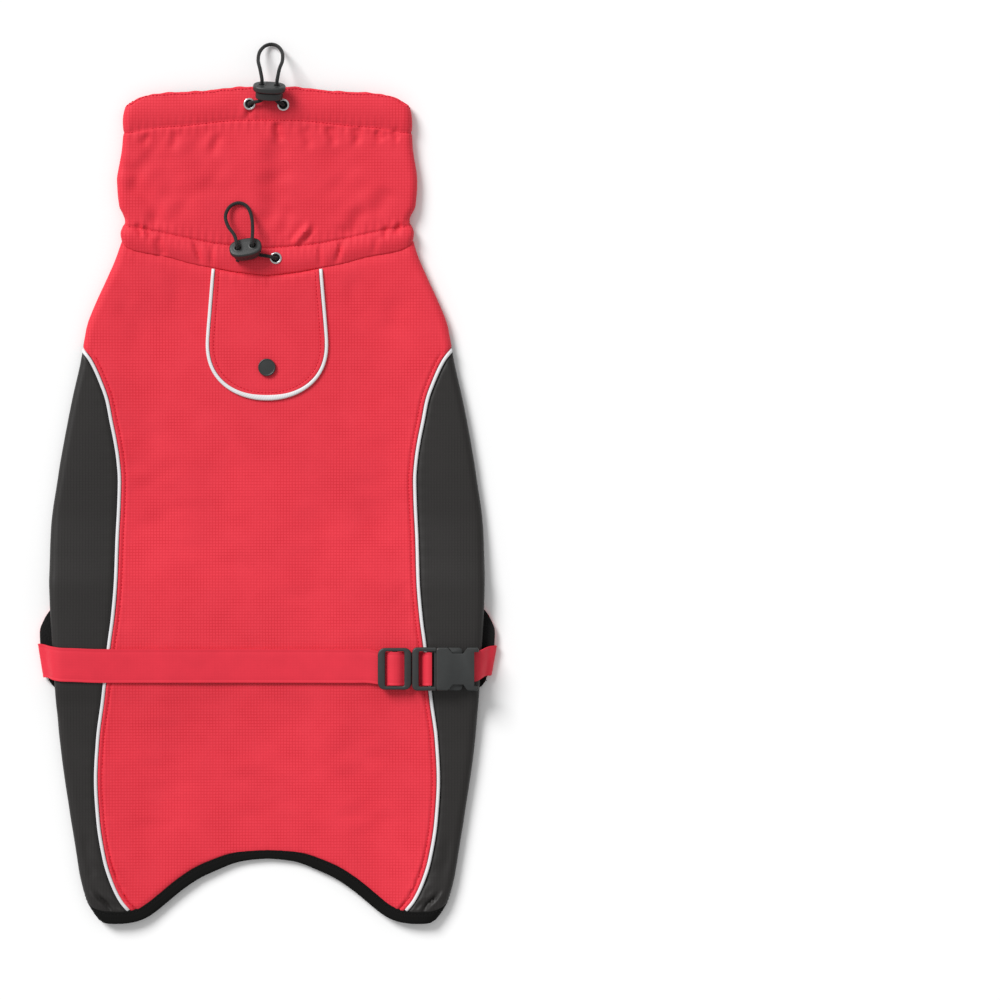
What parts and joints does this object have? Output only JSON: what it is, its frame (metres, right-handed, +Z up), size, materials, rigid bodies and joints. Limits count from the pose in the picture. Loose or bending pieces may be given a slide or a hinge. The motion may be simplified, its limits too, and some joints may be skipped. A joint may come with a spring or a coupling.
{
  "type": "dog raincoat",
  "caption": "Dog raincoat with a high collar, laid flat: back and side panels, belly band with a buckled belt, drawcords in the collar, leash opening cover, hind-leg loops.",
  "frame": {"origin": "on the surface the coat lies on, under the middle of its outline without the drawcords", "axes": "+X towards the buckle's side, +Y towards the neck, +Z up out of the back; the coat lies flat on Z = 0 with its back up"},
  "size_m": [0.3192, 0.6117, 0.0264],
  "materials": {
    "red_shell": "coated ripstop weave, faint sheen",
    "red_strap": "smooth folded shell cloth, satin",
    "charcoal_shell": "coated weave, satin",
    "black_fleece": "short brushed pile, matt",
    "black_binding": "ribbed elastic tape, matt",
    "reflective_piping": "glass-bead coated tape, smooth",
    "black_elastic": "braided elastic",
    "black_plastic": "moulded acetal, fine matt grain",
    "eyelet_metal": "nickel plated, bright"
  },
  "bodies": {
    "root": {"back_panel": "red_shell", "side_panel_left": "charcoal_shell", "side_panel_right": "charcoal_shell", "back_lining": "black_fleece", "collar": "red_shell", "throat_panel": "black_fleece", "chest_panel": "red_shell", "belly_lining": "black_fleece", "leash_flap": "red_shell", "flap_piping": "reflective_piping", "piping_left": "reflective_piping", "piping_right": "reflective_piping", "leg_binding_left": "black_binding", "leg_binding_right": "black_binding", "hem_binding": "black_binding", "chest_binding_left": "black_binding", "chest_binding_right": "black_binding", "belly_binding": "black_binding", "leg_loop_left": "black_elastic", "leg_loop_right": "black_elastic", "belt_left": "red_strap", "belt_right": "red_strap", "slider": "black_plastic", "buckle_male": "black_plastic", "buckle_female": "black_plastic", "snap_cap": "black_plastic", "eyelet_upper_left": "eyelet_metal", "eyelet_upper_right": "eyelet_metal", "eyelet_lower": "eyelet_metal", "upper_lock_body": "black_plastic", "upper_lock_button": "black_plastic", "upper_cord": "black_elastic", "lower_lock_body": "black_plastic", "lower_lock_button": "black_plastic", "lower_cord": "black_elastic"}
  },
  "joints": []
}
